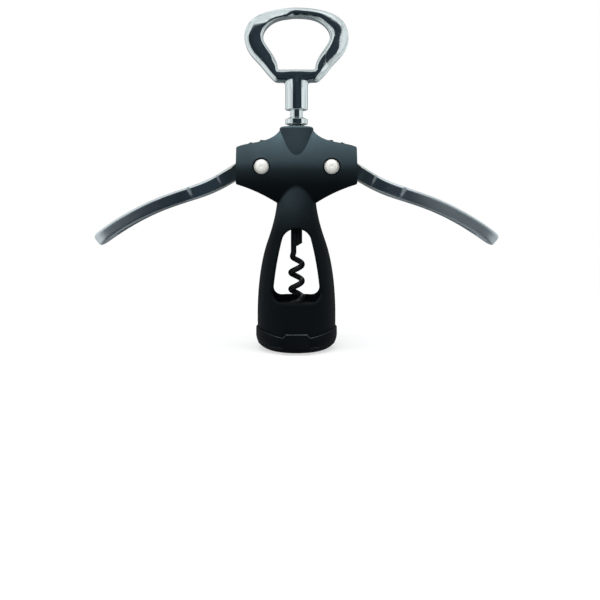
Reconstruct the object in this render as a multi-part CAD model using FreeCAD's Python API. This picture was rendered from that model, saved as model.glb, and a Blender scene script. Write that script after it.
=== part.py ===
import FreeCAD, Part

import math
import os

from FreeCAD import Vector

# Wing corkscrew, in millimetres. Z runs up the middle of the bell, neck and handle,
# and Z = 0 is the plane that the bell stands on. X runs out along the levers, and the
# front of the corkscrew faces -Y. Every piece is drawn with the levers half way down.

# Clearances, and how far a cutting shape stands past what it cuts
SLIDE_CLEARANCE = 0.10
TURN_CLEARANCE = 0.05
SEAT_CLEARANCE = 0.02
MARGIN = 1.0
NEAR = 0.05

# Bell, neck and collar of the housing
BELL_FOOT_Z = 3.0
BELL_FOOT_INSET = 0.35
BELL_RADIUS = 20.2
BELL_WIDEST_Z = 20.5
SHOULDER_RADIUS = 18.2
SHOULDER_Z = 42.6
FLANK_RADIUS = 15.9
FLANK_Z = 52.5
WAIST_RADIUS = 13.65
WAIST_Z = 59.3
NECK_RADIUS = 10.4
NECK_Z = 73.0
THROAT_RADIUS = 9.95
THROAT_Z = 86.5
COLLAR_RADIUS = 8.8
COLLAR_FOOT_Z = 100.0
COLLAR_TOP_Z = 114.4
COLLAR_EDGE_RADIUS = 1.2

# Inside of the bell and neck
BELL_WALL = 3.3
CAVITY_WAIST_Z = 57.3
CAVITY_TOP_Z = 64.0
NECK_LIP = 0.7

# Window through the front and back of the bell
WINDOW_BOTTOM_Z = 25.2
WINDOW_BOTTOM_HALF = 12.9
WINDOW_CORNER_RADIUS = 4.6
WINDOW_MIDDLE_Z = 44.0
WINDOW_MIDDLE_HALF = 10.2
WINDOW_TOP_HALF = 7.6
WINDOW_SPRING_Z = 55.6
WINDOW_APEX_Z = 62.0
WINDOW_EDGE_RADIUS = 0.9

# Head, which carries both levers
HEAD_HALF_WIDTH = 30.8
HEAD_END_BOTTOM_Z = 84.6
HEAD_END_TOP_Z = 103.7
HEAD_CORNER_RADIUS = 1.1
HEAD_BELLY_X = 19.2
HEAD_BELLY_Z = 80.1
HEAD_ROOT_X = 9.6
HEAD_ROOT_Z = 74.6
HEAD_BACK_X = 17.5
HEAD_BACK_Z = 106.8
HEAD_FLARE_X = 11.4
HEAD_FLARE_Z = 109.5
HEAD_CREST_X = 8.6
HEAD_CREST_Z = 112.6
HEAD_HALF_DEPTH = 10.7
HEAD_BROW_Z = 92.8
HEAD_UPPER_HALF_DEPTH = 8.9
HEAD_UPPER_Z = 99.2
HEAD_SLOPE_HALF_DEPTH = 6.6
HEAD_SLOPE_Z = 105.9
HEAD_RIDGE_HALF_DEPTH = 4.9
HEAD_RIDGE_Z = 109.6
HEAD_CREST_HALF_DEPTH = 2.2
HEAD_LOWER_HALF_DEPTH = 9.9
HEAD_LOWER_Z = 84.4
HEAD_CHIN_HALF_DEPTH = 6.8
HEAD_CHIN_Z = 78.0
HEAD_ROOT_HALF_DEPTH = 1.0

# Soft ring round the mouth of the bell
RING_SKIRT = 0.75
RING_HEIGHT = 11.4
RING_WIDEST_Z = 8.8
RING_BOWL = 5.6
RING_MOUTH_EDGE = 0.5
RING_TOP_EDGE = 0.5
RING_SIDE_Z = 11.9
RING_BEND_X = 12.8
RING_BEND_Z = 9.4
RING_DIP_Z = 8.3
RING_DIP_HALF = 6.8
TAB_HALF_WIDTH = 5.2
TAB_TOP_Z = 10.2
TAB_SLOPE = 1.5
TAB_PROUD = 0.35

# Seat for the mouth of the bottle, inside the bell
SEAT_TOP_Z = 21.5
SEAT_INSET = 3.7
SEAT_WALL = 1.9
SEAT_LEDGE = 2.0
SEAT_LEDGE_Z = 11.0
SEAT_LEDGE_THICKNESS = 1.8
SEAT_LIP = 1.1

# Pivots of the levers
PIVOT_X = 17.9
PIVOT_Z = 93.5
PIVOT_PIN_RADIUS = 2.5
RIVET_HEAD_RADIUS = 3.8
RIVET_HEAD_RIM = 0.7
RIVET_DOME = 1.3
RIVET_BEND_RADIUS = 2.6
RIVET_BEND_DROP = 0.36
RIVET_DIMPLE_RADIUS = 0.8
RIVET_DIMPLE_DEPTH = 0.15
RIVET_TUBE_WALL = 1.0
RIVET_TUBE_END = 0.8
RIVET_TUBE_FLOOR = 3.8
COUNTERBORE_RADIUS = 4.5
COUNTERBORE_FLOOR = 8.1

# Gear of each lever and the rack between them
GEAR_TEETH = 12
RACK_PITCH = 6.9
PRESSURE_ANGLE = 22.0
GEAR_TIP_RADIUS = 13.9
GEAR_ROOT_GAP = 0.3
BACKLASH = 0.3
TOOTH_FIRST = -2
TOOTH_LAST = 4
SECTOR_MARGIN = 12.0
TOOTH_SUNK = 1.0
GEAR_WIDTH = 9.0
HUB_RADIUS = 7.2
BUSH_WALL = 1.0
WASHER_THICKNESS = 0.4
WASHER_RADIUS = 5.6
SLOT_TIP_GAP = 0.8

# Round rack, a sleeve with rings
RACK_RINGS = 6
RACK_TOP_RING_Z = 117.15
RACK_TIP_RADIUS = 5.85
RACK_ROOT_RADIUS = 3.3
RACK_BOTTOM_Z = 78.6
ROD_RADIUS = 2.0
ROD_BOTTOM_Z = 66.0
ROD_TOP_Z = 134.5

# Guides of the rack in the collar and in the neck
GUIDE_WALL = 1.0
UPPER_GUIDE_TOP_Z = 113.6
UPPER_GUIDE_BOTTOM_Z = 104.6
LOWER_GUIDE_TOP_Z = 83.4
LOWER_GUIDE_BOTTOM_Z = 66.0

# Arm of each lever, as reach out from the pivot and drop below it
ARM_NECK_REACH = 14.9
ARM_NECK_DROP = 3.4
ARM_KNEE_REACH = 23.1
ARM_KNEE_DROP = 8.2
ARM_HEEL_REACH = 31.3
ARM_HEEL_DROP = 11.8
ARM_MIDDLE_REACH = 51.6
ARM_MIDDLE_DROP = 18.8
ARM_PALM_REACH = 68.0
ARM_PALM_DROP = 26.7
ARM_TIP_REACH = 85.5
ARM_TIP_DROP = 38.7
ARM_ROOT_REACH = 4.0
ARM_ROOT_DROP = 0.6
ARM_ROOT_THICKNESS = 8.6
ARM_NECK_THICKNESS = 7.8
ARM_GRIP_THICKNESS = 6.9
ARM_TIP_THICKNESS = 6.2
GRIP_WIDTH = 15.0
GRIP_STARTS = 36.6
GRIP_STEP_STARTS = 22.3
ARM_EDGE_RADIUS = 1.5
ARM_TIP_EDGE = 1.2
TIP_LAST_ANGLE = 72.0
TIP_STEPS = 3
CHANNEL_STARTS = 40.0
CHANNEL_ENDS = 78.0
CHANNEL_DEPTH = 1.6
CHANNEL_RIM = 2.2
CHANNEL_EDGE_RADIUS = 0.8
CHANNEL_STEPS = 3

# Handle: loop with the opener's lip, and stem
STEM_RADIUS = 5.9
STEM_BOTTOM_Z = 123.1
STEM_SHOULDER_Z = 137.0
STEM_TOP_Z = 143.0
STEM_TOP_RADIUS = 3.8
STEM_EDGE_RADIUS = 0.8
STEM_BLEND_RADIUS = 1.6
LOOP_DEPTH = 9.2
LOOP_EDGE_RADIUS = 2.8
HOLE_EDGE_RADIUS = 1.7
BASE_Z = 137.5
BASE_HALF_WIDTH = 10.9
BASE_CORNER_RADIUS = 3.2
BASE_SHOULDER_HALF = 14.6
BASE_SHOULDER_Z = 141.2
CHEEK_LOW_HALF = 19.6
CHEEK_LOW_Z = 147.1
CHEEK_HALF = 24.6
CHEEK_Z = 152.9
LOOP_HALF_WIDTH = 27.0
LOOP_HEIGHT = 38.6
LOOP_TOP_Z = BASE_Z + LOOP_HEIGHT
LOOP_WIDEST_Z = LOOP_TOP_Z - 15.1
CROWN_HALF = 23.2
CROWN_Z = LOOP_TOP_Z - 5.9
CROWN_TOP_HALF = 15.5
CROWN_DROP = 2.0
LIP_Z = 143.9
LIP_HALF_WIDTH = 9.7
HOLE_LOW_HALF = 10.8
HOLE_LOW_Z = 149.0
HOLE_CHEEK_HALF = 14.6
HOLE_CHEEK_Z = 155.0
HOLE_HALF_WIDTH = 17.4
HOLE_WIDEST_Z = LOOP_TOP_Z - 14.7
HOLE_CROWN_HALF = 13.7
HOLE_CROWN_Z = LOOP_TOP_Z - 8.5
HOLE_TOP_Z = LOOP_TOP_Z - 5.1

# Holder of the worm, under the rack
HOLDER_RADIUS = 2.95
HOLDER_FLANGE_RADIUS = 3.4
HOLDER_FLANGE_HEIGHT = 1.2
HOLDER_TOP_Z = 77.6
HOLDER_SLANT_TOP_Z = 54.2
HOLDER_SLANT_BOTTOM_Z = 51.0
HOLDER_SEAM_DEPTH = 0.7
HOLDER_SEAM_TOP_Z = 65.0
HOLDER_PIN_RADIUS = 0.75
HOLDER_PIN_SUNK = 0.15
HOLDER_PIN_Z = 71.0
THRUST_WASHER_RADIUS = 3.6

# Worm, a right-handed helix of wire
WIRE_RADIUS = 1.45
SHANK_TOP_Z = 64.5
SHANK_BOTTOM_Z = 49.5
WORM_RADIUS = 2.9
WORM_PITCH = 8.6
WORM_TURNS = 4.0
WORM_LEAD_IN = 0.5
WORM_POINT_SLANT = 20.0
WORM_POINT_BLUNT = 0.15
GROUND_RADIUS = 6.5
DIRECTION_STEP = 0.001
GAP_MARK_COUNT = 400
GAP_APART_COUNT = 50

# Sizes that follow from those above
BELL_FOOT_RADIUS = BELL_RADIUS - BELL_FOOT_INSET
RING_RADIUS = BELL_RADIUS + RING_SKIRT
RING_FOOT_RADIUS = RING_RADIUS - RING_BOWL
SEAT_RADIUS = BELL_RADIUS - SEAT_INSET
SEAT_FLARE_RADIUS = SEAT_RADIUS - SEAT_LIP
BOTTLE_BORE_RADIUS = SEAT_RADIUS - SEAT_WALL
CORK_BORE_RADIUS = BOTTLE_BORE_RADIUS - SEAT_LEDGE
PITCH_RADIUS = GEAR_TEETH * RACK_PITCH / (2 * math.pi)
RACK_PITCH_LINE = PIVOT_X - PITCH_RADIUS
GEAR_ROOT_RADIUS = PIVOT_X - RACK_TIP_RADIUS - GEAR_ROOT_GAP
GUIDE_BORE_RADIUS = RACK_TIP_RADIUS + SLIDE_CLEARANCE
GUIDE_RADIUS = GUIDE_BORE_RADIUS + GUIDE_WALL
SLOT_HALF_WIDTH = GEAR_WIDTH / 2 + WASHER_THICKNESS + 2 * TURN_CLEARANCE
SLOT_RADIUS = GEAR_TIP_RADIUS + SLOT_TIP_GAP
BUSH_BORE_RADIUS = PIVOT_PIN_RADIUS + TURN_CLEARANCE
BUSH_RADIUS = BUSH_BORE_RADIUS + BUSH_WALL
SHANK_X = WIRE_RADIUS - HOLDER_RADIUS
FAR = 200.0


def save(name, shape):
    """Write one node's solids, and say how large they are."""
    solids = shape.Solids
    node = solids[0] if len(solids) == 1 else Part.makeCompound(solids)
    node.exportStep("parts/" + name + ".step")
    volume = sum(solid.Volume for solid in solids)
    print(name, "solids", len(solids), "volume %.1f" % volume, "valid", node.isValid())


def front_point(x, z):
    """A point of an outline that is drawn on the front view."""
    return Vector(x, 0, z)


def spline(points):
    """One smooth edge through the points."""
    curve = Part.BSplineCurve()
    curve.interpolate(points)
    return curve.toShape()


def mirrored_x(shape):
    """The same shape on the other side of the corkscrew."""
    return shape.mirror(Vector(0, 0, 0), Vector(1, 0, 0))


def extruded_y(wire, half_depth):
    """A front outline made into a solid, alike to the front and to the back."""
    face = Part.Face(wire)
    face.translate(Vector(0, -half_depth, 0))
    return face.extrude(Vector(0, 2 * half_depth, 0))


def revolved_z(edges):
    """A closed half section, turned about the middle axis."""
    face = Part.Face(Part.Wire(edges))
    return face.revolve(Vector(0, 0, 0), Vector(0, 0, 1), 360)


def tube_z(outer, inner, bottom, top):
    """A plain sleeve on the middle axis."""
    body = Part.makeCylinder(outer, top - bottom, Vector(0, 0, bottom))
    bore = Part.makeCylinder(inner, top - bottom, Vector(0, 0, bottom))
    return body.cut(bore)


def rod_y(radius, start, end, x=PIVOT_X, z=PIVOT_Z):
    """A round rod along Y, from start to end."""
    return Part.makeCylinder(radius, end - start, Vector(x, start, z), Vector(0, 1, 0))


def polygon(points):
    """Straight edges from point to point, left open."""
    return [Part.makeLine(a, b) for a, b in zip(points, points[1:])]


def housing_outside():
    """Bell, neck and collar, turned from one half section."""
    flank = spline([
        front_point(BELL_FOOT_RADIUS, BELL_FOOT_Z),
        front_point(BELL_RADIUS, BELL_WIDEST_Z),
        front_point(SHOULDER_RADIUS, SHOULDER_Z),
        front_point(FLANK_RADIUS, FLANK_Z),
        front_point(WAIST_RADIUS, WAIST_Z),
        front_point(NECK_RADIUS, NECK_Z),
        front_point(THROAT_RADIUS, THROAT_Z),
    ])
    edge_start = front_point(COLLAR_RADIUS, COLLAR_TOP_Z - COLLAR_EDGE_RADIUS)
    edge_end = front_point(COLLAR_RADIUS - COLLAR_EDGE_RADIUS, COLLAR_TOP_Z)
    edge_middle = front_point(
        COLLAR_RADIUS - COLLAR_EDGE_RADIUS * (1 - math.sqrt(0.5)),
        COLLAR_TOP_Z - COLLAR_EDGE_RADIUS * (1 - math.sqrt(0.5)),
    )
    side = polygon([
        front_point(THROAT_RADIUS, THROAT_Z),
        front_point(COLLAR_RADIUS, COLLAR_FOOT_Z),
        edge_start,
    ])
    rounded = Part.Arc(edge_start, edge_middle, edge_end).toShape()
    inside = polygon([
        edge_end,
        front_point(0, COLLAR_TOP_Z),
        front_point(0, BELL_FOOT_Z),
        front_point(BELL_FOOT_RADIUS, BELL_FOOT_Z),
    ])
    return revolved_z([flank] + side + [rounded] + inside)


def corner_arc(corner, before, after, radius):
    """Round a corner of an outline whose two sides meet there at any angle."""
    to_before = (before - corner).normalize()
    to_after = (after - corner).normalize()
    half_angle = to_before.getAngle(to_after) / 2
    reach = radius / math.tan(half_angle)
    start = corner + to_before * reach
    end = corner + to_after * reach
    middle_direction = (to_before + to_after).normalize()
    middle = corner + middle_direction * (radius / math.sin(half_angle) - radius)
    return start, middle, end


def head_front_outline():
    """Outline of the head from the front: flared above, sweeping in below."""
    top_corner = front_point(HEAD_HALF_WIDTH, HEAD_END_TOP_Z)
    bottom_corner = front_point(HEAD_HALF_WIDTH, HEAD_END_BOTTOM_Z)
    back = front_point(HEAD_BACK_X, HEAD_BACK_Z)
    belly = front_point(HEAD_BELLY_X, HEAD_BELLY_Z)
    top_start, top_middle, top_end = corner_arc(top_corner, back, bottom_corner,
                                                HEAD_CORNER_RADIUS)
    low_start, low_middle, low_end = corner_arc(bottom_corner, top_corner, belly,
                                                HEAD_CORNER_RADIUS)
    crest = front_point(HEAD_CREST_X, HEAD_CREST_Z)
    root = front_point(HEAD_ROOT_X, HEAD_ROOT_Z)
    upper = spline([crest, front_point(HEAD_FLARE_X, HEAD_FLARE_Z), back, top_start])
    lower = spline([low_end, belly, root])
    right = [
        upper,
        Part.Arc(top_start, top_middle, top_end).toShape(),
        Part.makeLine(top_end, low_start),
        Part.Arc(low_start, low_middle, low_end).toShape(),
        lower,
    ]
    left = [mirrored_x(edge) for edge in right]
    crest_left = front_point(-HEAD_CREST_X, HEAD_CREST_Z)
    root_left = front_point(-HEAD_ROOT_X, HEAD_ROOT_Z)
    joins = [Part.makeLine(crest, crest_left), Part.makeLine(root, root_left)]
    return Part.Wire(Part.__sortEdges__(right + left + joins))


def head_side_outline():
    """Outline of the head from the side: a lens, fullest in front of the pivots."""
    front = [
        Vector(0, -HEAD_CREST_HALF_DEPTH, HEAD_CREST_Z),
        Vector(0, -HEAD_RIDGE_HALF_DEPTH, HEAD_RIDGE_Z),
        Vector(0, -HEAD_SLOPE_HALF_DEPTH, HEAD_SLOPE_Z),
        Vector(0, -HEAD_UPPER_HALF_DEPTH, HEAD_UPPER_Z),
        Vector(0, -HEAD_HALF_DEPTH, HEAD_BROW_Z),
        Vector(0, -HEAD_LOWER_HALF_DEPTH, HEAD_LOWER_Z),
        Vector(0, -HEAD_CHIN_HALF_DEPTH, HEAD_CHIN_Z),
        Vector(0, -HEAD_ROOT_HALF_DEPTH, HEAD_ROOT_Z),
    ]
    back = [Vector(0, -p.y, p.z) for p in front]
    edges = [
        spline(front),
        Part.makeLine(front[-1], back[-1]),
        spline(back),
        Part.makeLine(front[0], back[0]),
    ]
    return Part.Wire(Part.__sortEdges__(edges))


def head():
    """Front outline and side outline, each drawn through the other."""
    front = extruded_y(head_front_outline(), HEAD_HALF_DEPTH + MARGIN)
    side_face = Part.Face(head_side_outline())
    side_face.translate(Vector(-HEAD_HALF_WIDTH - MARGIN, 0, 0))
    side = side_face.extrude(Vector(2 * (HEAD_HALF_WIDTH + MARGIN), 0, 0))
    return front.common(side)


def housing_inside():
    """Room for the bottle's seat, the cork, the guides and the rack."""
    seat_room = SEAT_RADIUS + SEAT_CLEARANCE
    bore = GUIDE_RADIUS + SEAT_CLEARANCE
    lip = bore - NECK_LIP
    wall = spline([
        front_point(seat_room, SEAT_TOP_Z),
        front_point(SHOULDER_RADIUS - BELL_WALL, SHOULDER_Z),
        front_point(WAIST_RADIUS - BELL_WALL, CAVITY_WAIST_Z),
        front_point(lip, CAVITY_TOP_Z),
    ])
    rest = polygon([
        front_point(lip, CAVITY_TOP_Z),
        front_point(lip, LOWER_GUIDE_BOTTOM_Z),
        front_point(bore, LOWER_GUIDE_BOTTOM_Z),
        front_point(bore, COLLAR_TOP_Z + MARGIN),
        front_point(0, COLLAR_TOP_Z + MARGIN),
        front_point(0, BELL_FOOT_Z - MARGIN),
        front_point(seat_room, BELL_FOOT_Z - MARGIN),
        front_point(seat_room, SEAT_TOP_Z),
    ])
    return revolved_z([wall] + rest)


def window():
    """Pointed arch with a flat sill and rounded lower corners."""
    sill_corner = front_point(WINDOW_BOTTOM_HALF, WINDOW_BOTTOM_Z)
    middle = front_point(WINDOW_MIDDLE_HALF, WINDOW_MIDDLE_Z)
    start, halfway, end = corner_arc(sill_corner, front_point(0, WINDOW_BOTTOM_Z), middle,
                                     WINDOW_CORNER_RADIUS)
    apex = front_point(0, WINDOW_APEX_Z)
    jamb = spline([end, middle, front_point(WINDOW_TOP_HALF, WINDOW_SPRING_Z)])
    jamb_top = front_point(WINDOW_TOP_HALF, WINDOW_SPRING_Z)
    arch_left = front_point(-WINDOW_TOP_HALF, WINDOW_SPRING_Z)
    arch = Part.Arc(jamb_top, apex, arch_left).toShape()
    right = [Part.Arc(start, halfway, end).toShape(), jamb]
    left = [mirrored_x(edge) for edge in right]
    sill = Part.makeLine(start, front_point(-start.x, start.z))
    wire = Part.Wire(Part.__sortEdges__(right + left + [sill, arch]))
    return extruded_y(wire, FAR)


def lever_slot():
    """Room for the right lever's gear, open above, below and at the end of the head."""
    gear_room = rod_y(SLOT_RADIUS, -SLOT_HALF_WIDTH, SLOT_HALF_WIDTH)
    arm_room = Part.makeBox(
        HEAD_HALF_WIDTH, 2 * SLOT_HALF_WIDTH, 2 * HEAD_HALF_WIDTH,
        Vector(PIVOT_X, -SLOT_HALF_WIDTH, PIVOT_Z - HEAD_HALF_WIDTH),
    )
    return gear_room.fuse(arm_room)


def pivot_hole():
    """Hole for the right pivot, with a round recess for the rivet's head at each end."""
    hole = rod_y(PIVOT_PIN_RADIUS + TURN_CLEARANCE, -FAR, FAR)
    front = rod_y(COUNTERBORE_RADIUS, -FAR, -COUNTERBORE_FLOOR)
    back = rod_y(COUNTERBORE_RADIUS, COUNTERBORE_FLOOR, FAR)
    return hole.fuse([front, back])


def window_rim(hollow_bell, outside):
    """Edges of both windows that lie on the outside of the bell."""
    rim = []
    for edge in hollow_bell.Edges:
        middle = edge.valueAt((edge.FirstParameter + edge.LastParameter) / 2)
        box = edge.BoundBox
        beside_window = BELL_FOOT_Z + MARGIN < box.ZMin and box.ZMax < NECK_Z
        on_outside = outside.Shells[0].distToShape(Part.Vertex(middle))[0] < NEAR
        if beside_window and on_outside:
            rim.append(edge)
    return rim


def housing():
    """The black body: bell, neck, head and collar in one piece."""
    outside = housing_outside()
    bell = outside.cut([housing_inside(), window()])
    bell = bell.makeFillet(WINDOW_EDGE_RADIUS, window_rim(bell, outside))
    body = bell.fuse(head()).removeSplitter()
    openings = [housing_inside()]
    for opening in (lever_slot(), pivot_hole()):
        openings += [opening, mirrored_x(opening)]
    return body.cut(openings)


def bell_ring():
    """Soft ring round the mouth: a bowl below, a thin skirt above, dipped in front."""
    groove_radius = BELL_FOOT_RADIUS + SEAT_CLEARANCE
    skirt_radius = BELL_RADIUS + SEAT_CLEARANCE
    bowl_start = front_point(RING_FOOT_RADIUS, 0)
    bowl_end = front_point(RING_RADIUS, RING_WIDEST_Z)
    bowl_middle = front_point(
        RING_FOOT_RADIUS + (RING_RADIUS - RING_FOOT_RADIUS) * math.sqrt(0.5),
        RING_WIDEST_Z * (1 - math.sqrt(0.5)),
    )
    bowl = spline([bowl_start, bowl_middle, bowl_end])
    rest = polygon([
        bowl_end,
        front_point(RING_RADIUS, RING_HEIGHT - RING_TOP_EDGE),
        front_point(RING_RADIUS - RING_TOP_EDGE, RING_HEIGHT),
        front_point(skirt_radius, RING_HEIGHT),
        front_point(groove_radius, BELL_FOOT_Z),
        front_point(BOTTLE_BORE_RADIUS, BELL_FOOT_Z),
        front_point(BOTTLE_BORE_RADIUS, RING_MOUTH_EDGE),
        front_point(BOTTLE_BORE_RADIUS + RING_MOUTH_EDGE, 0),
        bowl_start,
    ])
    ring = revolved_z([bowl] + rest)
    return ring.fuse(ring_tab()).cut(ring_dip()).removeSplitter()


def ring_tab():
    """Flat-faced tab of the ring, at the front and at the back."""
    half_width = TAB_HALF_WIDTH + TAB_SLOPE
    half_depth = RING_RADIUS + TAB_PROUD
    block = Part.makeBox(2 * half_width, 2 * half_depth, RING_HEIGHT - BELL_FOOT_Z,
                         Vector(-half_width, -half_depth, BELL_FOOT_Z))
    return block.cut(Part.makeCylinder(BELL_RADIUS + SEAT_CLEARANCE, FAR))


def ring_dip():
    """What is taken off the ring's top edge: it sinks to the front and to the back."""
    side = front_point(RING_RADIUS + MARGIN, RING_SIDE_Z)
    dip = front_point(RING_DIP_HALF, RING_DIP_Z)
    bend = front_point(RING_BEND_X, RING_BEND_Z)
    slope = Part.Arc(side, bend, dip).toShape()
    rise = Part.makeLine(dip, front_point(TAB_HALF_WIDTH, TAB_TOP_Z))
    right = [slope, rise]
    left = [mirrored_x(edge) for edge in right]
    top = polygon([
        side,
        front_point(side.x, 2 * RING_HEIGHT),
        front_point(-side.x, 2 * RING_HEIGHT),
        front_point(-side.x, side.z),
    ])
    flat = Part.makeLine(front_point(TAB_HALF_WIDTH, TAB_TOP_Z),
                         front_point(-TAB_HALF_WIDTH, TAB_TOP_Z))
    wire = Part.Wire(Part.__sortEdges__(right + left + top + [flat]))
    return extruded_y(wire, FAR)


def bottle_seat():
    """Liner that the bottle's mouth stops against, with a tunnel for the cork."""
    return revolved_z(polygon([
        front_point(BOTTLE_BORE_RADIUS, BELL_FOOT_Z),
        front_point(SEAT_RADIUS, BELL_FOOT_Z),
        front_point(SEAT_RADIUS, SEAT_TOP_Z),
        front_point(SEAT_FLARE_RADIUS, SEAT_TOP_Z),
        front_point(CORK_BORE_RADIUS, SEAT_LEDGE_Z + SEAT_LEDGE_THICKNESS),
        front_point(CORK_BORE_RADIUS, SEAT_LEDGE_Z),
        front_point(BOTTLE_BORE_RADIUS, SEAT_LEDGE_Z),
        front_point(BOTTLE_BORE_RADIUS, BELL_FOOT_Z),
    ]))


def rivet_head():
    """Half section of a domed head that sits on its recess's floor, facing -Y."""
    rim = -COUNTERBORE_FLOOR - RIVET_HEAD_RIM
    crown = rim - RIVET_DOME
    dimple = crown + RIVET_DIMPLE_DEPTH
    dome = Part.Arc(Vector(RIVET_HEAD_RADIUS, rim, 0),
                    Vector(RIVET_BEND_RADIUS, crown + RIVET_BEND_DROP, 0),
                    Vector(RIVET_DIMPLE_RADIUS, crown, 0)).toShape()
    rest = polygon([
        Vector(RIVET_DIMPLE_RADIUS, crown, 0),
        Vector(0, dimple, 0),
        Vector(0, -COUNTERBORE_FLOOR, 0),
        Vector(RIVET_HEAD_RADIUS, -COUNTERBORE_FLOOR, 0),
        Vector(RIVET_HEAD_RADIUS, rim, 0),
    ])
    face = Part.Face(Part.Wire(Part.__sortEdges__([dome] + rest)))
    turned = face.revolve(Vector(0, 0, 0), Vector(0, 1, 0), 360)
    turned.translate(Vector(PIVOT_X, 0, PIVOT_Z))
    return turned


def rivet_tube():
    """Front half of the right pivot: domed head and hollow shank."""
    end = COUNTERBORE_FLOOR - RIVET_TUBE_END
    shank = rod_y(PIVOT_PIN_RADIUS, -COUNTERBORE_FLOOR, end)
    bore = rod_y(PIVOT_PIN_RADIUS - RIVET_TUBE_WALL, -RIVET_TUBE_FLOOR, end)
    return rivet_head().fuse(shank).cut(bore).removeSplitter()


def rivet_core():
    """Rear half of the right pivot: its shank is driven into the hollow one."""
    radius = PIVOT_PIN_RADIUS - RIVET_TUBE_WALL - SEAT_CLEARANCE
    shank = rod_y(radius, -RIVET_TUBE_FLOOR + RIVET_TUBE_END, COUNTERBORE_FLOOR)
    rear_head = rivet_head().mirror(Vector(0, 0, 0), Vector(0, 1, 0))
    return rear_head.fuse(shank).removeSplitter()


def lever_washers():
    """Thin spacers on both sides of the right lever's hub."""
    inner = GEAR_WIDTH / 2 + TURN_CLEARANCE
    outer = inner + WASHER_THICKNESS
    bore = rod_y(BUSH_BORE_RADIUS, -FAR, FAR)
    front = rod_y(WASHER_RADIUS, -outer, -inner).cut(bore)
    back = rod_y(WASHER_RADIUS, inner, outer).cut(bore)
    return Part.makeCompound([front, back])


def lever_bush():
    """Bearing bush in the right lever's hub."""
    half = GEAR_WIDTH / 2
    return rod_y(BUSH_RADIUS, -half, half).cut(rod_y(BUSH_BORE_RADIUS, -half, half))


def involute(angle):
    """How far an involute has turned from its base circle, in radians."""
    return math.tan(angle) - angle


def tooth_half_angle(radius):
    """Half of a tooth's width at a radius of the gear, in radians."""
    pressure = math.radians(PRESSURE_ANGLE)
    base = PITCH_RADIUS * math.cos(pressure)
    here = math.acos(min(1.0, base / radius))
    at_pitch_line = (RACK_PITCH / 2 - BACKLASH) / 2 / PITCH_RADIUS
    return at_pitch_line + involute(pressure) - involute(here)


def gear_point(radius, angle):
    """A point of the right gear. The angle is measured at the pivot, up from -X."""
    return front_point(PIVOT_X - radius * math.cos(angle), PIVOT_Z + radius * math.sin(angle))


def gear_tooth(middle_angle):
    """One tooth of the right gear, with involute flanks."""
    base = PITCH_RADIUS * math.cos(math.radians(PRESSURE_ANGLE))
    foot = GEAR_ROOT_RADIUS - TOOTH_SUNK
    halfway = (base + GEAR_TIP_RADIUS) / 2
    foot_half = tooth_half_angle(base)
    tip_half = tooth_half_angle(GEAR_TIP_RADIUS)
    flanks = []
    for side in (-1, 1):
        at = [gear_point(r, middle_angle + side * tooth_half_angle(r))
              for r in (base, halfway, GEAR_TIP_RADIUS)]
        foot_point = gear_point(foot, middle_angle + side * foot_half)
        flanks += [Part.makeLine(foot_point, at[0]), Part.Arc(*at).toShape()]
    tip = Part.Arc(gear_point(GEAR_TIP_RADIUS, middle_angle - tip_half),
                   gear_point(GEAR_TIP_RADIUS, middle_angle),
                   gear_point(GEAR_TIP_RADIUS, middle_angle + tip_half)).toShape()
    floor = Part.makeLine(gear_point(foot, middle_angle - foot_half),
                          gear_point(foot, middle_angle + foot_half))
    wire = Part.Wire(Part.__sortEdges__(flanks + [tip, floor]))
    return extruded_y(wire, GEAR_WIDTH / 2)


def tooth_angles():
    """Angles of the teeth, set so that they stand between the rack's rings."""
    rings_above = math.floor((RACK_TOP_RING_Z - PIVOT_Z) / RACK_PITCH)
    gap_z = RACK_TOP_RING_Z - (rings_above + 0.5) * RACK_PITCH
    first = (gap_z - PIVOT_Z) / PITCH_RADIUS
    step = 2 * math.pi / GEAR_TEETH
    return [first + step * k for k in range(TOOTH_FIRST, TOOTH_LAST + 1)]


def gear_sector():
    """The part of the right gear that meets the rack, with its hub."""
    angles = tooth_angles()
    margin = math.radians(SECTOR_MARGIN)
    start = angles[0] - margin
    end = angles[-1] + margin
    middle = (start + end) / 2
    rim = Part.Arc(gear_point(GEAR_ROOT_RADIUS, start), gear_point(GEAR_ROOT_RADIUS, middle),
                   gear_point(GEAR_ROOT_RADIUS, end)).toShape()
    sides = polygon([gear_point(GEAR_ROOT_RADIUS, end), gear_point(0, 0),
                     gear_point(GEAR_ROOT_RADIUS, start)])
    blank = extruded_y(Part.Wire(Part.__sortEdges__([rim] + sides)), GEAR_WIDTH / 2)
    hub = rod_y(HUB_RADIUS, -GEAR_WIDTH / 2, GEAR_WIDTH / 2)
    return blank.fuse([hub] + [gear_tooth(angle) for angle in angles])


def arm_centre_line():
    """Middle line of the right arm: an S at the head, then one long bow."""
    stations = [
        (ARM_ROOT_REACH, ARM_ROOT_DROP),
        (ARM_NECK_REACH, ARM_NECK_DROP),
        (ARM_KNEE_REACH, ARM_KNEE_DROP),
        (ARM_HEEL_REACH, ARM_HEEL_DROP),
        (ARM_MIDDLE_REACH, ARM_MIDDLE_DROP),
        (ARM_PALM_REACH, ARM_PALM_DROP),
        (ARM_TIP_REACH, ARM_TIP_DROP),
    ]
    curve = Part.BSplineCurve()
    curve.interpolate([front_point(PIVOT_X + u, PIVOT_Z - d) for u, d in stations])
    return curve


def station_at(curve, reach):
    """Place and direction of the arm's middle line at a reach, found by halving."""
    low = curve.FirstParameter
    high = curve.LastParameter
    while curve.value(high).x - curve.value(low).x > NEAR ** 3:
        middle = (low + high) / 2
        if curve.value(middle).x - PIVOT_X < reach:
            low = middle
        else:
            high = middle
    return curve.value(low), curve.tangent(low)[0]


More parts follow.
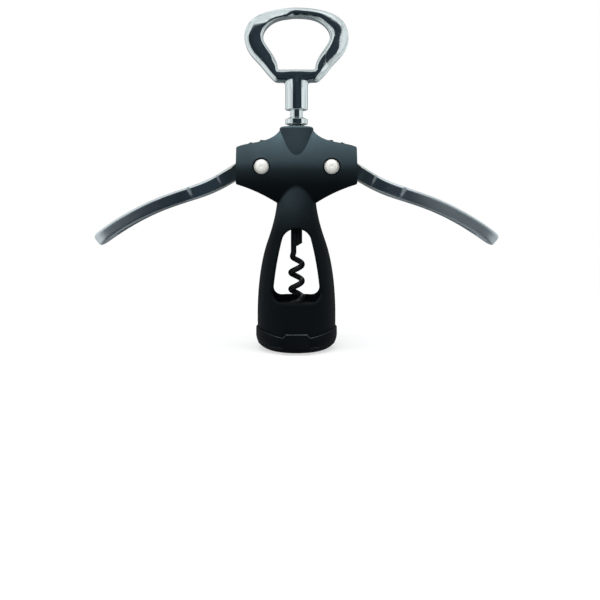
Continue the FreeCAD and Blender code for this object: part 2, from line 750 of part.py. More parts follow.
def between(value, start, end, at_start, at_end):
    """Straight-line change from one size to another."""
    share = min(1.0, max(0.0, (value - start) / (end - start)))
    return at_start + share * (at_end - at_start)


def arm_width(reach):
    """Width of the arm in Y: as the gear at the head, wider along the grip."""
    width = between(reach, GRIP_STEP_STARTS, GRIP_STARTS, GEAR_WIDTH, GRIP_WIDTH)
    half = GRIP_WIDTH / 2
    from_tip = ARM_TIP_REACH - reach
    if from_tip < half:
        width = 2 * math.sqrt(max(0.0, half ** 2 - (half - from_tip) ** 2))
    return width


def arm_thickness(reach):
    """Thickness of the arm, seen from the front."""
    if reach < ARM_NECK_REACH:
        return between(reach, ARM_ROOT_REACH, ARM_NECK_REACH, ARM_ROOT_THICKNESS,
                       ARM_NECK_THICKNESS)
    if reach < GRIP_STARTS:
        return between(reach, ARM_NECK_REACH, GRIP_STARTS, ARM_NECK_THICKNESS,
                       ARM_GRIP_THICKNESS)
    return between(reach, GRIP_STARTS, ARM_TIP_REACH, ARM_GRIP_THICKNESS, ARM_TIP_THICKNESS)


def rounded_section(centre, along, width, thickness, radius):
    """Rounded rectangle across the arm."""
    across = Vector(0, 1, 0)
    up = across.cross(along).normalize()
    half_w = width / 2
    half_t = thickness / 2
    diagonal = radius * (1 - math.sqrt(0.5))
    edges = []
    last = None
    for side_w, side_t in ((1, 1), (-1, 1), (-1, -1), (1, -1)):
        corner_w = centre + across * (side_w * half_w)
        a = corner_w + up * (side_t * (half_t - radius))
        b = centre + across * (side_w * (half_w - radius)) + up * (side_t * half_t)
        middle = (centre + across * (side_w * (half_w - diagonal))
                  + up * (side_t * (half_t - diagonal)))
        first, second = (a, b) if side_w * side_t > 0 else (b, a)
        if last is not None:
            edges.append(Part.makeLine(last, first))
        edges.append(Part.Arc(first, middle, second).toShape())
        last = second
    edges.append(Part.makeLine(last, edges[0].Vertexes[0].Point))
    return Part.Wire(edges)


def lever_arm():
    """The right arm, lofted through rounded sections from the hub to the tip."""
    curve = arm_centre_line()
    half = GRIP_WIDTH / 2
    reaches = [ARM_ROOT_REACH, ARM_NECK_REACH, GRIP_STEP_STARTS,
               (GRIP_STEP_STARTS + GRIP_STARTS) / 2, GRIP_STARTS,
               ARM_MIDDLE_REACH, ARM_PALM_REACH, ARM_TIP_REACH - half]
    for k in range(1, TIP_STEPS + 1):
        angle = math.radians(TIP_LAST_ANGLE * k / TIP_STEPS)
        reaches.append(ARM_TIP_REACH - half * (1 - math.sin(angle)))
    sections = []
    for reach in reaches:
        centre, along = station_at(curve, reach)
        thickness = arm_thickness(reach)
        if reach == reaches[-1]:
            thickness -= ARM_TIP_EDGE
        sections.append(rounded_section(centre, along, arm_width(reach), thickness,
                                        ARM_EDGE_RADIUS))
    return Part.makeLoft(sections, True, False)


def lever_channel():
    """Shallow hollow along the underside of the right grip."""
    curve = arm_centre_line()
    sections = []
    for k in range(CHANNEL_STEPS + 1):
        reach = between(k, 0, CHANNEL_STEPS, CHANNEL_STARTS, CHANNEL_ENDS)
        centre, along = station_at(curve, reach)
        up = Vector(0, 1, 0).cross(along).normalize()
        down = up * (-1 if up.z > 0 else 1)
        floor = arm_thickness(reach) / 2 - CHANNEL_DEPTH
        middle = centre + down * (floor + CHANNEL_DEPTH)
        width = arm_width(reach) - 2 * CHANNEL_RIM
        sections.append(rounded_section(middle, along, width, 2 * CHANNEL_DEPTH,
                                        CHANNEL_EDGE_RADIUS))
    return Part.makeLoft(sections, True, False)


def lever():
    """The right lever: gear sector, hub and arm in one casting, flat inside the head."""
    beside = GEAR_WIDTH / 2
    arm = lever_arm().cut([rod_y(GRIP_STEP_STARTS, beside, FAR),
                           rod_y(GRIP_STEP_STARTS, -FAR, -beside)])
    blank = gear_sector().fuse(arm).removeSplitter()
    bore = rod_y(BUSH_RADIUS + SEAT_CLEARANCE, -FAR, FAR)
    return blank.cut([bore, lever_channel()])


def ring_half_height(radius):
    """Half of a rack ring's height at a radius, with straight sloping flanks."""
    slope = math.tan(math.radians(PRESSURE_ANGLE))
    at_pitch_line = (RACK_PITCH / 2 - TURN_CLEARANCE) / 2
    return at_pitch_line - (radius - RACK_PITCH_LINE) * slope


def rack_sleeve():
    """The round rack: a bored sleeve with evenly spaced rings."""
    tip = ring_half_height(RACK_TIP_RADIUS)
    root = ring_half_height(RACK_ROOT_RADIUS)
    points = [front_point(RACK_ROOT_RADIUS, STEM_BOTTOM_Z - SLIDE_CLEARANCE)]
    for k in range(RACK_RINGS):
        z = RACK_TOP_RING_Z - k * RACK_PITCH
        points += [
            front_point(RACK_ROOT_RADIUS, z + root),
            front_point(RACK_TIP_RADIUS, z + tip),
            front_point(RACK_TIP_RADIUS, z - tip),
            front_point(RACK_ROOT_RADIUS, z - root),
        ]
    bore = ROD_RADIUS + TURN_CLEARANCE
    points += [
        front_point(RACK_ROOT_RADIUS, RACK_BOTTOM_Z),
        front_point(bore, RACK_BOTTOM_Z),
        front_point(bore, STEM_BOTTOM_Z - SLIDE_CLEARANCE),
    ]
    return revolved_z(polygon(points + [points[0]]))


def guide(bottom, top):
    """Bush in which the rack's rings slide."""
    return tube_z(GUIDE_RADIUS, GUIDE_BORE_RADIUS, bottom, top)


def loop_outline():
    """Outside of the handle's loop."""
    foot = front_point(BASE_HALF_WIDTH, BASE_Z)
    side = spline([
        foot,
        front_point(BASE_SHOULDER_HALF, BASE_SHOULDER_Z),
        front_point(CHEEK_LOW_HALF, CHEEK_LOW_Z),
        front_point(CHEEK_HALF, CHEEK_Z),
        front_point(LOOP_HALF_WIDTH, LOOP_WIDEST_Z),
        front_point(CROWN_HALF, CROWN_Z),
        front_point(CROWN_TOP_HALF, LOOP_TOP_Z - CROWN_DROP),
        front_point(0, LOOP_TOP_Z),
        front_point(-CROWN_TOP_HALF, LOOP_TOP_Z - CROWN_DROP),
        front_point(-CROWN_HALF, CROWN_Z),
        front_point(-LOOP_HALF_WIDTH, LOOP_WIDEST_Z),
        front_point(-CHEEK_HALF, CHEEK_Z),
        front_point(-CHEEK_LOW_HALF, CHEEK_LOW_Z),
        front_point(-BASE_SHOULDER_HALF, BASE_SHOULDER_Z),
        front_point(-BASE_HALF_WIDTH, BASE_Z),
    ])
    base = Part.makeLine(front_point(-BASE_HALF_WIDTH, BASE_Z), foot)
    return Part.Wire([side, base])


def hole_outline():
    """Hole of the loop, with the opener's straight lip below."""
    side = spline([
        front_point(LIP_HALF_WIDTH, LIP_Z),
        front_point(HOLE_LOW_HALF, HOLE_LOW_Z),
        front_point(HOLE_CHEEK_HALF, HOLE_CHEEK_Z),
        front_point(HOLE_HALF_WIDTH, HOLE_WIDEST_Z),
        front_point(HOLE_CROWN_HALF, HOLE_CROWN_Z),
        front_point(0, HOLE_TOP_Z),
        front_point(-HOLE_CROWN_HALF, HOLE_CROWN_Z),
        front_point(-HOLE_HALF_WIDTH, HOLE_WIDEST_Z),
        front_point(-HOLE_CHEEK_HALF, HOLE_CHEEK_Z),
        front_point(-HOLE_LOW_HALF, HOLE_LOW_Z),
        front_point(-LIP_HALF_WIDTH, LIP_Z),
    ])
    lip = Part.makeLine(front_point(-LIP_HALF_WIDTH, LIP_Z), front_point(LIP_HALF_WIDTH, LIP_Z))
    return Part.Wire([side, lip])


def rim_edges(shape, half_depth):
    """Edges that lie wholly in the front face or the back face."""
    found = []
    for edge in shape.Edges:
        box = edge.BoundBox
        if box.YLength < NEAR and abs(abs(box.YMin) - half_depth) < NEAR:
            found.append(edge)
    return found


def base_corners(slab):
    """Edges of the loop's two lower corners, which run front to back."""
    return [edge for edge in slab.Edges
            if edge.BoundBox.ZMax < BASE_Z + NEAR and edge.BoundBox.XLength < NEAR]


def handle_loop():
    """The loop, with its edges rounded over."""
    half = LOOP_DEPTH / 2
    slab = extruded_y(loop_outline(), half)
    slab = slab.makeFillet(BASE_CORNER_RADIUS, base_corners(slab))
    slab = slab.makeFillet(LOOP_EDGE_RADIUS, rim_edges(slab, half))
    loop = slab.cut(extruded_y(hole_outline(), half))
    return loop.makeFillet(HOLE_EDGE_RADIUS, rim_edges(loop, half))


def handle_stem():
    """The stem, rounded below and drawn in at the top to sink into the loop."""
    foot = front_point(STEM_RADIUS - STEM_EDGE_RADIUS, STEM_BOTTOM_Z)
    foot_end = front_point(STEM_RADIUS, STEM_BOTTOM_Z + STEM_EDGE_RADIUS)
    inset = STEM_EDGE_RADIUS * (1 - math.sqrt(0.5))
    foot_middle = front_point(STEM_RADIUS - inset, STEM_BOTTOM_Z + inset)
    shoulder = front_point(STEM_RADIUS, STEM_SHOULDER_Z)
    top = front_point(STEM_TOP_RADIUS, STEM_TOP_Z)
    draw = Part.BezierCurve()
    draw.setPoles([shoulder, front_point(STEM_RADIUS, (STEM_SHOULDER_Z + STEM_TOP_Z) / 2), top])
    return revolved_z([
        Part.Arc(foot, foot_middle, foot_end).toShape(),
        Part.makeLine(foot_end, shoulder),
        draw.toShape(),
    ] + polygon([top, front_point(0, STEM_TOP_Z), front_point(0, STEM_BOTTOM_Z), foot]))


def handle():
    """Loop, opener's lip and stem in one casting, with the stem blended into the loop."""
    body = handle_loop().fuse(handle_stem()).removeSplitter()
    joint = []
    for edge in body.Edges:
        box = edge.BoundBox
        around_stem = max(-box.XMin, box.XMax) < STEM_RADIUS + NEAR
        if around_stem and BASE_Z - NEAR < box.ZMin and box.ZMax < STEM_TOP_Z:
            joint.append(edge)
    body = body.makeFillet(STEM_BLEND_RADIUS, joint)
    socket = Part.makeCylinder(ROD_RADIUS + SEAT_CLEARANCE, ROD_TOP_Z - STEM_BOTTOM_Z,
                               Vector(0, 0, STEM_BOTTOM_Z))
    return body.cut(socket)


def holder_pin_hole():
    """Cross hole for the pin, right through the holder and the rod."""
    return rod_y(HOLDER_PIN_RADIUS + SEAT_CLEARANCE, -FAR, FAR, 0, HOLDER_PIN_Z)


def spindle_rod():
    """Steel rod through the rack, from the worm's holder into the handle's stem."""
    rod = Part.makeCylinder(ROD_RADIUS, ROD_TOP_Z - ROD_BOTTOM_Z, Vector(0, 0, ROD_BOTTOM_Z))
    return rod.cut(holder_pin_hole())


def thrust_washer():
    """Washer between the rack's lower end and the worm's holder."""
    return tube_z(THRUST_WASHER_RADIUS, ROD_RADIUS + TURN_CLEARANCE,
                  HOLDER_TOP_Z + SEAT_CLEARANCE, RACK_BOTTOM_Z - SLIDE_CLEARANCE)


def worm_holder():
    """Round holder with a flange on top, a seam down its face and a slanted end."""
    body = Part.makeCylinder(HOLDER_RADIUS, HOLDER_TOP_Z - HOLDER_SLANT_BOTTOM_Z,
                             Vector(0, 0, HOLDER_SLANT_BOTTOM_Z))
    flange = Part.makeCylinder(HOLDER_FLANGE_RADIUS, HOLDER_FLANGE_HEIGHT,
                               Vector(0, 0, HOLDER_TOP_Z - HOLDER_FLANGE_HEIGHT))
    r = HOLDER_RADIUS
    under = Part.Wire(polygon([
        front_point(-r, HOLDER_SLANT_BOTTOM_Z),
        front_point(r, HOLDER_SLANT_TOP_Z),
        front_point(r + MARGIN, HOLDER_SLANT_TOP_Z),
        front_point(r + MARGIN, HOLDER_SLANT_BOTTOM_Z - MARGIN),
        front_point(-r, HOLDER_SLANT_BOTTOM_Z - MARGIN),
        front_point(-r, HOLDER_SLANT_BOTTOM_Z),
    ]))
    seam_face = Part.Face(Part.Wire(polygon([
        Vector(0, -r + HOLDER_SEAM_DEPTH, 0),
        Vector(2 * HOLDER_SEAM_DEPTH, -r - HOLDER_SEAM_DEPTH, 0),
        Vector(-2 * HOLDER_SEAM_DEPTH, -r - HOLDER_SEAM_DEPTH, 0),
        Vector(0, -r + HOLDER_SEAM_DEPTH, 0),
    ])))
    seam = seam_face.extrude(Vector(0, 0, HOLDER_SEAM_TOP_Z - HOLDER_SLANT_BOTTOM_Z))
    seam.translate(Vector(0, 0, HOLDER_SLANT_BOTTOM_Z))
    socket = Part.makeCylinder(ROD_RADIUS + SEAT_CLEARANCE, FAR, Vector(0, 0, ROD_BOTTOM_Z))
    shank_room = Part.makeCylinder(WIRE_RADIUS + SEAT_CLEARANCE, SHANK_TOP_Z,
                                   Vector(SHANK_X, 0, 0))
    cuts = [extruded_y(under, r + MARGIN), seam, socket, shank_room, holder_pin_hole()]
    return body.fuse(flange).removeSplitter().cut(cuts)


def holder_pin():
    """Cross pin through the holder and the rod."""
    half = HOLDER_RADIUS - HOLDER_PIN_SUNK
    return rod_y(HOLDER_PIN_RADIUS, -half, half, 0, HOLDER_PIN_Z)


def worm_point(turns):
    """Middle line of the worm's wire, so many turns down from the shank's end."""
    if turns < WORM_LEAD_IN:
        turned = turns ** 2 / (2 * WORM_LEAD_IN)
    else:
        turned = turns - WORM_LEAD_IN / 2
    share = min(1.0, turns / WORM_LEAD_IN)
    eased = share * share * (3 - 2 * share)
    radius = -SHANK_X + (WORM_RADIUS + SHANK_X) * eased
    angle = math.pi - 2 * math.pi * turned
    return Vector(radius * math.cos(angle), radius * math.sin(angle),
                  SHANK_BOTTOM_Z - WORM_PITCH * turns)


def worm_direction(turns):
    """Which way the wire runs there."""
    before = worm_point(max(0.0, turns - DIRECTION_STEP))
    return (worm_point(turns + DIRECTION_STEP) - before).normalize()


def arc_edge(start, apex, end):
    """Arc that leaves start towards apex and comes from apex into end."""
    chord_middle = (start + end) * 0.5
    rise = apex - chord_middle
    half_chord = (end - start).Length / 2
    turn = 2 * math.atan2(rise.Length, half_chord)
    sagitta = half_chord * math.tan(turn / 4)
    return Part.Arc(start, chord_middle + rise.normalize() * sagitta, end).toShape()


def two_arcs(start, start_way, end, end_way):
    """Two arcs that join two places and keep their directions."""
    chord = end - start
    both = start_way + end_way
    spread = 2 * (1 - start_way.dot(end_way))
    along = chord.dot(both)
    reach = (-along + math.sqrt(along ** 2 + spread * chord.dot(chord))) / spread
    first_apex = start + start_way * reach
    last_apex = end - end_way * reach
    middle = (first_apex + last_apex) * 0.5
    return [arc_edge(start, first_apex, middle), arc_edge(middle, last_apex, end)]


def worm():
    """Shank and helix of one bent wire, its end ground to a slanted point."""
    quarters = int(round(4 * WORM_TURNS))
    marks = [WORM_TURNS * k / quarters for k in range(quarters + 1)]
    shank_top = Vector(SHANK_X, 0, SHANK_TOP_Z)
    path = [Part.makeLine(shank_top, worm_point(0))]
    for a, b in zip(marks, marks[1:]):
        path += two_arcs(worm_point(a), worm_direction(a), worm_point(b), worm_direction(b))
    circle = Part.Wire(Part.makeCircle(WIRE_RADIUS, shank_top, Vector(0, 0, -1)))
    wire = Part.Wire(path).makePipeShell([circle], True, False)
    return wire.cut(ground_off())


def ground_off():
    """What is ground off the wire's end, from its outer side."""
    end = worm_point(WORM_TURNS)
    outward = Vector(end.x, end.y, 0).normalize()
    slant = math.radians(WORM_POINT_SLANT)
    facing = outward * math.cos(slant) + worm_direction(WORM_TURNS) * math.sin(slant)
    point = end - outward * (WIRE_RADIUS - WORM_POINT_BLUNT)
    disc = Part.Face(Part.Wire(Part.makeCircle(GROUND_RADIUS, point, facing)))
    return disc.extrude(facing * GROUND_RADIUS)


def worm_gap():
    """Least gap between the wire's turns, measured over points of its middle line."""
    line = [worm_point(WORM_TURNS * k / GAP_MARK_COUNT) for k in range(int(GAP_MARK_COUNT) + 1)]
    least = min(a.distanceToPoint(b) for k, a in enumerate(line) for b in line[k + int(GAP_APART_COUNT):])
    return least - 2 * WIRE_RADIUS


def main():
    os.makedirs("parts", exist_ok=True)
    save("housing", housing())
    save("bell_ring", bell_ring())
    save("bottle_seat", bottle_seat())
    save("upper_guide", guide(UPPER_GUIDE_BOTTOM_Z, UPPER_GUIDE_TOP_Z))
    save("lower_guide", guide(LOWER_GUIDE_BOTTOM_Z, LOWER_GUIDE_TOP_Z))
    paired = {
        "rivet_tube": rivet_tube(),
        "rivet_core": rivet_core(),
        "washers": lever_washers(),
        "bush": lever_bush(),
        "lever": lever(),
    }
    for name, shape in paired.items():
        save("right_" + name, shape)
        save("left_" + name, mirrored_x(shape))
    save("rack_sleeve", rack_sleeve())
    save("handle", handle())
    save("spindle_rod", spindle_rod())
    save("thrust_washer", thrust_washer())
    save("worm_holder", worm_holder())
    save("holder_pin", holder_pin())
    save("worm", worm())
    print("least gap between the turns of the worm %.2f mm" % worm_gap())


main()
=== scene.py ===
import math

import bmesh
import bpy
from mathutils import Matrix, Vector, kdtree, noise

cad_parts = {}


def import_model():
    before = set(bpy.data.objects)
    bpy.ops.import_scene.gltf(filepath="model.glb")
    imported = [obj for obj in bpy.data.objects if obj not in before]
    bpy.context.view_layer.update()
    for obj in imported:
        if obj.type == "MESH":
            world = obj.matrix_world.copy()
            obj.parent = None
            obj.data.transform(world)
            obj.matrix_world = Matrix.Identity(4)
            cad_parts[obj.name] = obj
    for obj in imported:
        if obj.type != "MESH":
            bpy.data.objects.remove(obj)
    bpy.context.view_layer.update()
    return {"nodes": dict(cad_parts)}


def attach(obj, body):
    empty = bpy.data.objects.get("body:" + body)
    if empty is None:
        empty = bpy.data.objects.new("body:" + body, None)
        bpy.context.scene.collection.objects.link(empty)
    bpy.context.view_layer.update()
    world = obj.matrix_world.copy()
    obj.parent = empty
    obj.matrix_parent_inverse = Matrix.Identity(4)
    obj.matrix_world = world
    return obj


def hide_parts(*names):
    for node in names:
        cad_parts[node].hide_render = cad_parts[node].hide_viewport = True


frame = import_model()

# Wing corkscrew with its levers half way down. Metres, Z up, and the front faces -Y.
NODES = frame["nodes"]

# The part of a noise's range that is spread over a colour or a roughness.
CLOUDY = (0.3, 0.7)

# Black coat of the housing: painted light makes it paler up the neck and up the head.
NECK_HIGHLIGHT_Z = (0.058, 0.083)
NECK_HIGHLIGHT_FADES_X = (-0.012, 0.010)
HEAD_TOP_LIGHT_Z = (0.082, 0.110)
SLOPE_TOP_LIGHT_Z = (0.078, 0.112)
NECK_ARCH_Z = 0.0845
NECK_ARCH_CURVE = 96.0
NECK_ARCH_EDGE = 0.0030
# Ring round the mouth: its painted edge highlight is strongest at the tab and weakens across this
# span.
TAB_HIGHLIGHT_X = (0.006, 0.016)

# Levers: streaks across the arm, each with its distance from the middle, its
# height, half width and strength; and where the steel dulls towards the tips.
STREAKS = ((0.0404, 0.0878, 0.0013, 0.70), (0.0552, 0.0821, 0.0015, 0.90))
STREAK_LEAN = 0.47
STREAK_HALF_LENGTH = 0.0048
RIGHT_DULLS_X = (0.022, 0.090)
LEFT_DULLS_X = (-0.105, -0.035)
GEAR_TINT_X = (0.030, 0.046)
LOOP_WEAR_Z = (0.140, 0.148)

# Handle: the crisp stem ends at SOFT_Z, and above it the casting is softened.
SOFT_Z = 0.1330
SOFT_FADE = 0.0010
STEM_RADIUS = 0.0059
STEM_ENDS_Z = 0.1428
BASE_Z = 0.1375
BASE_ROUND = 0.0028
LIP_Z = 0.1439
LIP_ROUND = 0.0017
LIP_HALF_WIDTH = 0.009
HALF_DEPTH = 0.0046
MID_PLANE = 0.0003
LOOP_CENTRE = Vector((0.0, 0.160))
VOXEL = 0.00028
SHARP_ANGLE = math.radians(32)
MELT_Z = 0.1412
MELT_HEIGHT = 0.0042
MELT_HALF_WIDTH = 0.006
MELT_FADE = 0.003
MELT_EDGE = 1.6
MELT_ROUNDS = 40
POLISH_ROUNDS = 14
STEM_TOP_Z = 0.141
STEM_KEEPS = 0.0045
STEM_FADE = 0.004
STEM_RISE = 1.5
STEEPEST = 0.62
THINNEST = 0.78
WANDER = 0.14
WANDER_SCALE = 140.0
BACK_WANDER = 3.0
# Round the loop from the crown, in degrees: where the face is flat across the
# band (-1 at the hole, 1 at the outer edge) and how strongly it falls off.
POLISH = (
    (-180, 0.1, 0.35), (-150, 0.0, 0.4), (-136, 0.2, 0.6), (-120, 0.0, 0.25),
    (-96, 0.0, 0.25), (-76, -0.35, 0.45), (-56, -1.1, 0.8), (-34, -1.3, 0.9),
    (-2, 0.3, 1.25), (20, 0.15, 1.1), (42, 0.0, 1.1), (62, -0.2, 1.1),
    (76, -0.1, 0.9), (93, -0.3, 1.5), (112, -0.15, 1.0), (132, -0.35, 1.15),
    (146, -0.45, 1.0), (162, -0.2, 0.6), (180, 0.1, 0.35))

# Studio.
WHITE = (1.0, 1.0, 1.0, 1.0)
SKY = (0.965, 0.99, 1.0, 1.0)
SHADE = (0.030, 0.043, 0.056, 1.0)
FILL = (0.97, 0.99, 1.0, 1.0)
FILL_LEVEL = 0.55
# Where the dark front and the dimmer back begin and end, in degrees round the object.
FRONT_TURN = math.radians(6)
FRONT_EDGE = (43, 49)
BACK_EDGE = (138, 156)
AIM = (0.0, 0.0, 0.09)
FLOOR_HALF = 6.0
FLOOR_Z = -0.0001
SHADOW_FADE = (0.10, 0.55)
SHADOW_SHARE = 0.42


class Wiring:
    """A node tree, and short ways to add the nodes that fill it."""

    def __init__(self, tree):
        self.tree = tree

    def add(self, kind, inputs=None, **settings):
        """A new node, with its settings and with what goes into its sockets."""
        node = self.tree.nodes.new(kind)
        for name, value in settings.items():
            setattr(node, name, value)
        for name, value in (inputs or {}).items():
            self.plug(value, node.inputs[name])
        return node

    def plug(self, value, socket):
        """Links an output, or writes a plain value, into a socket."""
        if isinstance(value, bpy.types.NodeSocket):
            self.tree.links.new(value, socket)
        else:
            socket.default_value = value

    def math(self, kind, a, b=0.0):
        return self.add("ShaderNodeMath", {0: a, 1: b}, operation=kind).outputs[0]

    def plus(self, a, b):
        return self.math("ADD", a, b)

    def minus(self, a, b):
        return self.math("SUBTRACT", a, b)

    def times(self, a, b):
        return self.math("MULTIPLY", a, b)

    def size(self, a):
        """The value without its sign."""
        return self.math("ABSOLUTE", a)

    def span(self, value, ends, to_low=0.0, to_high=1.0):
        """Maps the span between two ends smoothly onto another, and holds the ends."""
        inputs = {"From Min": ends[0], "From Max": ends[1], "To Min": to_low,
                  "To Max": to_high, "Value": value}
        node = self.add("ShaderNodeMapRange", inputs, interpolation_type="SMOOTHSTEP")
        return node.outputs["Result"]

    def blend(self, share, first, second):
        """Colour that goes from first to second."""
        inputs = {"Factor": share, 6: first, 7: second}
        return self.add("ShaderNodeMix", inputs, data_type="RGBA").outputs[2]

    def either(self, share, first, second):
        """Shader that goes from first to second."""
        return self.add("ShaderNodeMixShader", {0: share, 1: first, 2: second}).outputs[0]


class Surface(Wiring):
    """A material, fed by its place on the object."""

    def __init__(self, name, metallic=0.0):
        self.material = bpy.data.materials.new(name)
        self.material.use_nodes = True
        super().__init__(self.material.node_tree)
        self.shader = self.tree.nodes["Principled BSDF"]
        self.place = self.add("ShaderNodeTexCoord").outputs["Object"]
        self.set("Metallic", metallic)

    def set(self, name, value):
        self.plug(value, self.shader.inputs[name])

    def moved(self, scale, turn=(0.0, 0.0, 0.0)):
        """The place on the object, stretched and turned."""
        inputs = {"Vector": self.place, "Scale": scale, "Rotation": turn}
        return self.add("ShaderNodeMapping", inputs).outputs["Vector"]

    def noise(self, scale, detail=2.0, rough=0.5, at=None):
        inputs = {"Vector": at or self.place, "Scale": scale, "Detail": detail,
                  "Roughness": rough}
        return self.add("ShaderNodeTexNoise", inputs).outputs["Fac"]

    def axis(self, name, vector=None):
        """One part of a vector, or of the place."""
        return self.add("ShaderNodeSeparateXYZ", {0: vector or self.place}).outputs[name]

    def facing_up(self):
        """How far the face looks up: 0 on a wall and 1 on a level top."""
        return self.axis("Z", self.add("ShaderNodeNewGeometry").outputs["Normal"])

    def tones(self, share, first, second):
        """Blend of two opaque colours given by three numbers."""
        return self.blend(share, (*first, 1.0), (*second, 1.0))

    def eased(self, radius):
        """Normal that rounds the edges over a radius in metres."""
        return self.add("ShaderNodeBevel", {"Radius": radius}, samples=6).outputs["Normal"]

    def bump(self, height, depth, below=None):
        """Relief of a depth in metres, on top of the relief below."""
        inputs = {"Strength": 1.0, "Distance": depth, "Height": height}
        if below is not None:
            inputs["Normal"] = below
        return self.add("ShaderNodeBump", inputs).outputs["Normal"]


def soft_black():
    """Black coat of the housing, with painted light: paler up the neck, up the head and where it
    looks up.
    """
    s = Surface("soft_touch_black")
    cloud = s.noise(45.0, 3.0)
    grain = s.noise(2600.0, 2.0, 0.6)
    height = s.axis("Z")
    across = s.axis("X")
    # Painted light: painted top light on faces that look up, a painted neck highlight and painted
    # top light up the head.
    painted_top_light = s.times(s.span(s.facing_up(), (0.0, 0.6), 0.0, 0.66), s.span(height, SLOPE_TOP_LIGHT_Z))
    arch = s.minus(NECK_ARCH_Z, s.times(s.times(across, across), NECK_ARCH_CURVE))
    on_neck = s.span(s.minus(arch, height), (0.0, NECK_ARCH_EDGE))
    neck_highlight = s.times(s.span(height, NECK_HIGHLIGHT_Z, 0.0, 0.34),
                   s.span(across, NECK_HIGHLIGHT_FADES_X, 1.0, 0.25))
    pale = s.plus(s.times(neck_highlight, on_neck), s.plus(s.span(height, HEAD_TOP_LIGHT_Z, 0.0, 0.34), painted_top_light))
    pale = s.times(pale, s.span(cloud, CLOUDY, 0.85, 1.1))
    coat = s.tones(cloud, (0.0026, 0.0038, 0.0048), (0.0050, 0.0068, 0.0084))
    rough = s.plus(s.span(cloud, CLOUDY, 0.50, 0.56), s.span(grain, CLOUDY, -0.03, 0.03))
    # The pale colour is the painted highlight and painted top light of the coat.
    s.set("Base Color", s.blend(pale, coat, (0.078, 0.116, 0.134, 1.0)))
    s.set("Roughness", rough)
    s.set("Specular IOR Level", 0.03)
    s.set("Specular Tint", (0.70, 0.90, 1.0, 1.0))
    peel = s.bump(s.noise(420.0), 0.00002, s.eased(0.0004))
    s.set("Normal", s.bump(grain, 0.000012, peel))
    return s.material


def ring_black():
    """Soft rubber of the ring round the mouth, with a painted highlight along its upper edge."""
    s = Surface("ring_rubber_black")
    cloud = s.noise(60.0, 3.0)
    grain = s.noise(3000.0, 2.0, 0.6)
    soft = s.eased(0.0005)
    # Painted highlight: the upper edge, where the rounded normal looks up, is painted paler, most
    # near the tab.
    edge_highlight = s.times(s.span(s.axis("Z", soft), (0.30, 0.85)), s.span(cloud, (0.35, 0.6), 0.5, 1.0))
    highlight_near_tab = s.span(s.size(s.axis("X")), TAB_HIGHLIGHT_X, 1.0, 0.3)
    coat = s.tones(cloud, (0.0026, 0.0036, 0.0044), (0.0050, 0.0066, 0.0078))
    rough = s.plus(s.span(cloud, CLOUDY, 0.48, 0.56), s.span(grain, CLOUDY, -0.02, 0.02))
    s.set("Base Color", s.blend(s.times(edge_highlight, highlight_near_tab), coat, (0.085, 0.105, 0.115, 1.0)))
    s.set("Roughness", rough)
    s.set("Specular IOR Level", 0.03)
    s.set("Specular Tint", (0.78, 0.94, 1.0, 1.0))
    s.set("Normal", s.bump(grain, 0.00001, soft))
    return s.material


def mottled(name, cloud_scale, dark, pale, roughness, grain, depth, metallic=0.0):
    """A plain finish with faint clouds in it, and grain of a scale, detail and depth."""
    s = Surface(name, metallic)
    cloud = s.noise(cloud_scale, 3.0)
    s.set("Base Color", s.tones(cloud, dark, pale))
    s.set("Roughness", s.span(cloud, CLOUDY, *roughness))
    s.set("Normal", s.bump(s.noise(*grain), depth))
    return s.material


def chrome(name, streaks=(), worn=False):
    """Bright plating with faint smears, fine scratches and a wavy polish."""
    s = Surface(name, 1.0)
    smear = s.noise(35.0, 3.0, 0.6)
    hair = s.noise(900.0, 1.0, 0.5, s.moved((1.0, 1.0, 0.04), (0.0, 0.5, 0.0)))
    tint = s.tones(smear, (0.66, 0.735, 0.745), (0.74, 0.805, 0.812))
    rough = s.plus(s.span(smear, (0.35, 0.7), 0.05, 0.12),
                   s.span(s.noise(400.0, 3.0, 0.6), (0.5, 0.8), 0.0, 0.05))
    relief = s.bump(hair, 0.0000012, s.bump(s.noise(90.0), 0.00001, s.eased(0.0003)))
    if worn:
        loop = s.span(s.axis("Z"), LOOP_WEAR_Z)
        relief = s.bump(s.times(s.noise(150.0, 3.0, 0.6), loop), 0.00022, relief)
        lines = s.noise(700.0, 0.0, 0.5, s.moved((1.0, 0.3, 0.03), (0.0, -0.75, 0.0)))
        scratch = s.times(s.span(lines, (0.70, 0.76)), s.span(s.noise(60.0), (0.42, 0.55)))
        dull = s.span(s.noise(220.0, 4.0, 0.7), (0.45, 0.75), 0.05, 0.20)
        rough = s.plus(rough, s.times(s.times(scratch, loop), 0.35))
        rough = s.plus(rough, s.times(loop, dull))
    for away, height, half_width, strength in streaks:
        above = s.minus(s.axis("Z"), height)
        out = s.minus(s.size(s.axis("X")), s.times(above, STREAK_LEAN))
        line = s.span(s.size(s.minus(out, away)), (0.0, half_width), 1.0, 0.0)
        line = s.times(line, s.span(s.size(above), (0.0, STREAK_HALF_LENGTH), 1.0, 0.15))
        rough = s.plus(rough, s.times(line, strength))
    if streaks:
        rough = s.plus(rough, s.span(s.axis("X"), RIGHT_DULLS_X, 0.0, 0.52))
        rough = s.plus(rough, s.span(s.axis("X"), LEFT_DULLS_X, 0.40, 0.0))
        from_gear = s.span(s.size(s.axis("X")), GEAR_TINT_X)
        tint = s.tones(from_gear, (0.65, 0.67, 0.61), (0.68, 0.755, 0.785))
    s.set("Base Color", tint)
    s.set("Roughness", rough)
    s.set("Normal", relief)
    return s.material


def rod_steel():
    """Ground steel of the rod and the cross pin."""
    s = Surface("rod_steel", 1.0)
    rings = s.noise(2500.0, 2.0, 0.5, s.moved((0.05, 0.05, 1.0)))
    s.set("Base Color", s.tones(rings, (0.50, 0.51, 0.52), (0.62, 0.63, 0.64)))
    s.set("Roughness", s.span(rings, CLOUDY, 0.18, 0.34))
    s.set("Normal", s.bump(rings, 0.000002))
    return s.material


